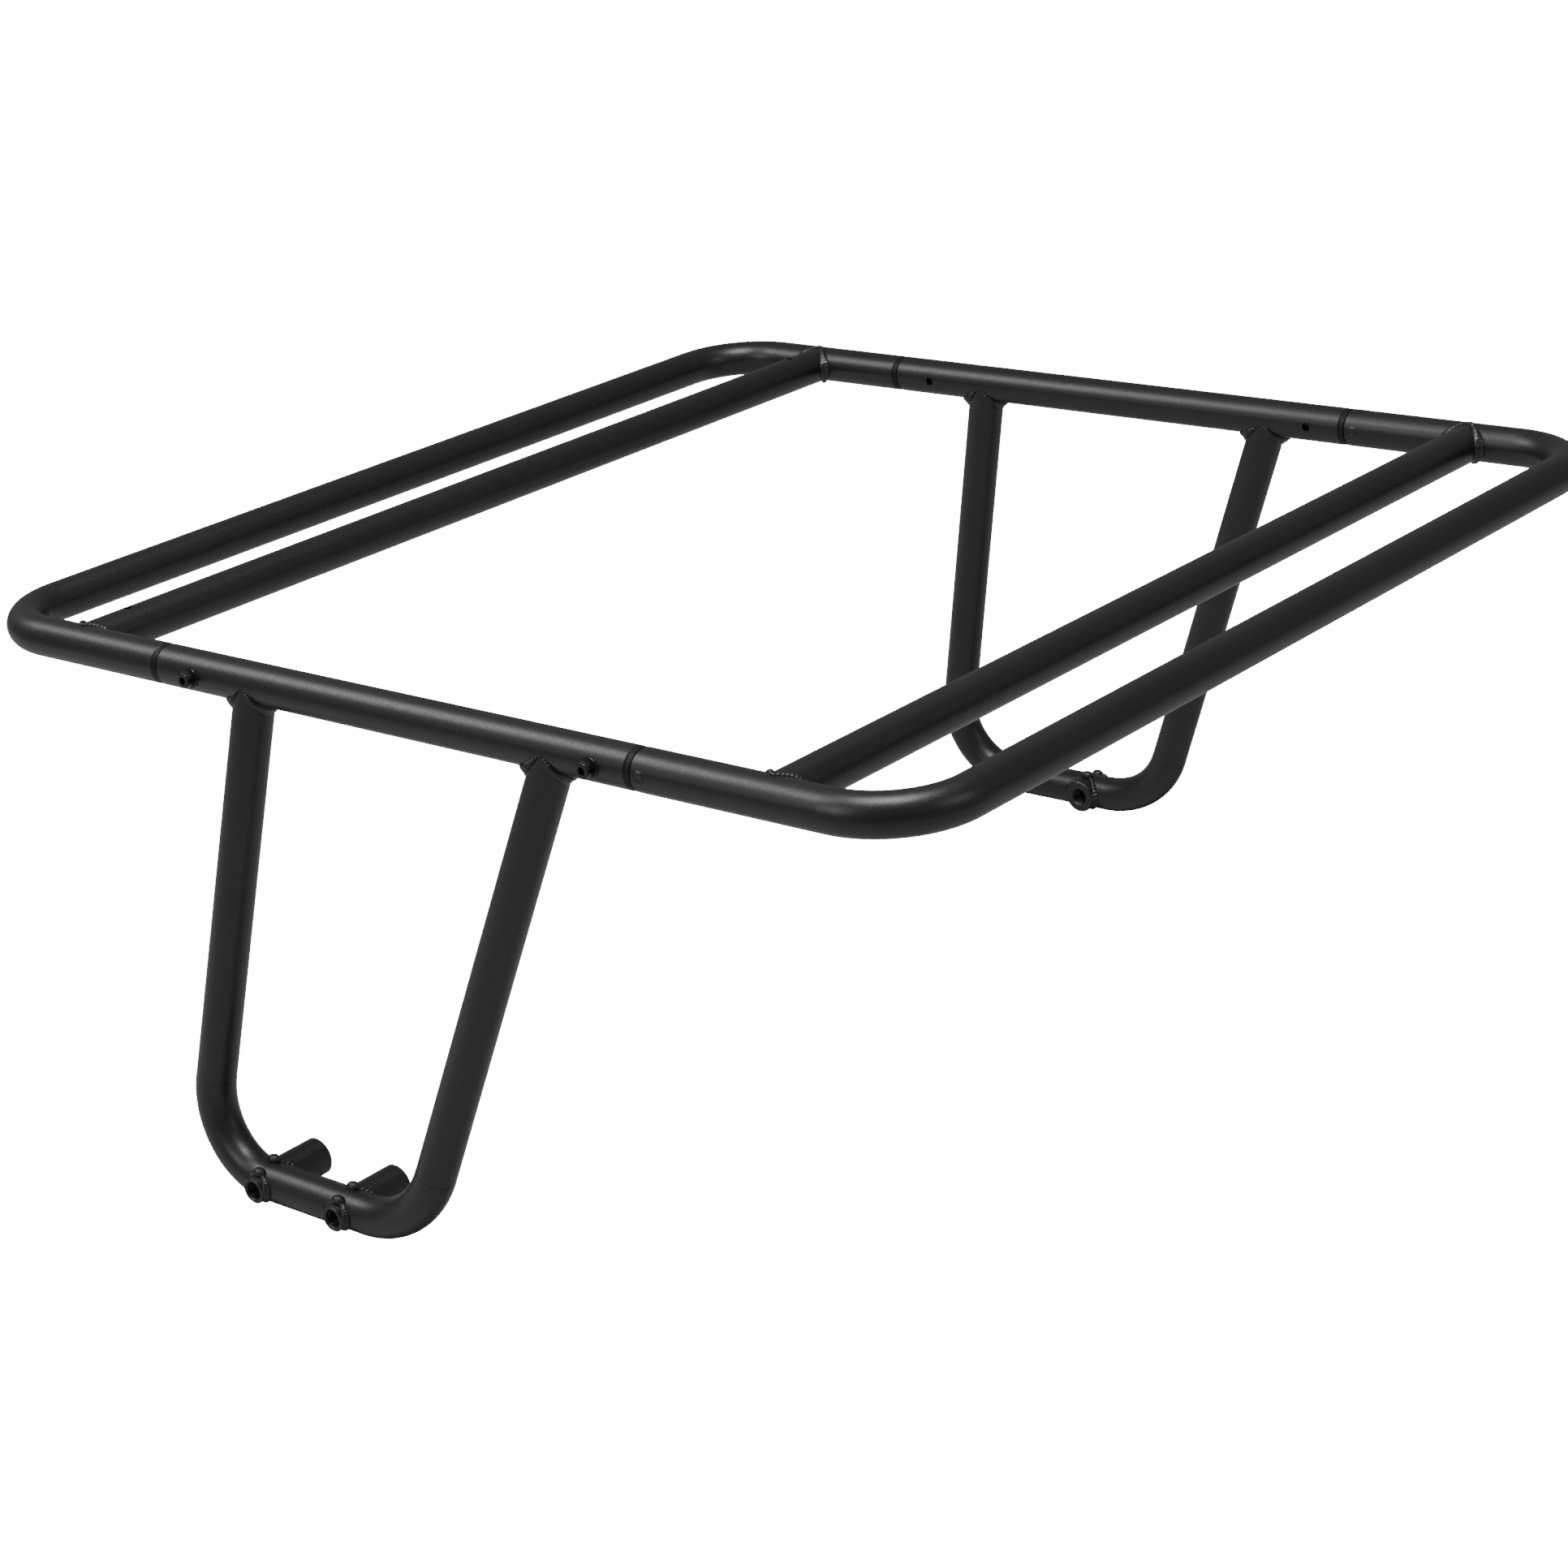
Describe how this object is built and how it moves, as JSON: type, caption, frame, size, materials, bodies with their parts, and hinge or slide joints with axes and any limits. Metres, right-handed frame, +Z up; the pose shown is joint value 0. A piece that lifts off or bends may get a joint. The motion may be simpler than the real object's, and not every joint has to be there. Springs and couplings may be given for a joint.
{
  "type": "tubular cargo rack",
  "caption": "Rigid bolt-together tubular cargo rack: bent end hoops with crossbars on spigots in side rails, splayed leg loops below with threaded bosses.",
  "frame": {"origin": "outer end of the thread in the left rear boss, on its axis", "axes": "+X across the rack to the right, +Y along the side rails to the rear, +Z up; the thread's mouth faces -X"},
  "size_m": [0.7164, 0.6662, 0.3083],
  "materials": {
    "coated_tube": "satin powder coat",
    "coated_weld": "satin powder coat over weld beads",
    "coated_boss": "satin powder coat over turned steel",
    "black_screw": "black oxide, oiled and glossy"
  },
  "bodies": {
    "rack": {"front_hoop": "coated_tube", "rear_hoop": "coated_tube", "front_crossbar": "coated_tube", "rear_crossbar": "coated_tube", "left_side_rail": "coated_tube", "right_side_rail": "coated_tube", "left_leg_loop": "coated_tube", "right_leg_loop": "coated_tube", "front_left_spigot": "coated_tube", "front_right_spigot": "coated_tube", "rear_left_spigot": "coated_tube", "rear_right_spigot": "coated_tube", "left_front_boss": "coated_boss", "left_rear_boss": "coated_boss", "right_front_boss": "coated_boss", "right_rear_boss": "coated_boss", "left_leg_welds": "coated_weld", "right_leg_welds": "coated_weld", "front_crossbar_welds": "coated_weld", "rear_crossbar_welds": "coated_weld", "left_boss_welds": "coated_weld", "right_boss_welds": "coated_weld", "front_plug_welds": "coated_weld", "rear_plug_welds": "coated_weld"},
    "front_left_screw": {"front_left_screw": "black_screw", "front_left_washer": "black_screw"},
    "front_right_screw": {"front_right_screw": "black_screw", "front_right_washer": "black_screw"},
    "rear_left_screw": {"rear_left_screw": "black_screw", "rear_left_washer": "black_screw"},
    "rear_right_screw": {"rear_right_screw": "black_screw", "rear_right_washer": "black_screw"}
  },
  "joints": [
    {"name": "front_left_screw_out", "type": "slide", "parent": "rack", "child": "front_left_screw", "axis": [-1, 0, 0], "range_m": [0, 0.018]},
    {"name": "front_right_screw_out", "type": "slide", "parent": "rack", "child": "front_right_screw", "axis": [1, 0, 0], "range_m": [0, 0.018]},
    {"name": "rear_left_screw_out", "type": "slide", "parent": "rack", "child": "rear_left_screw", "axis": [-1, 0, 0], "range_m": [0, 0.018]},
    {"name": "rear_right_screw_out", "type": "slide", "parent": "rack", "child": "rear_right_screw", "axis": [1, 0, 0], "range_m": [0, 0.018]}
  ]
}
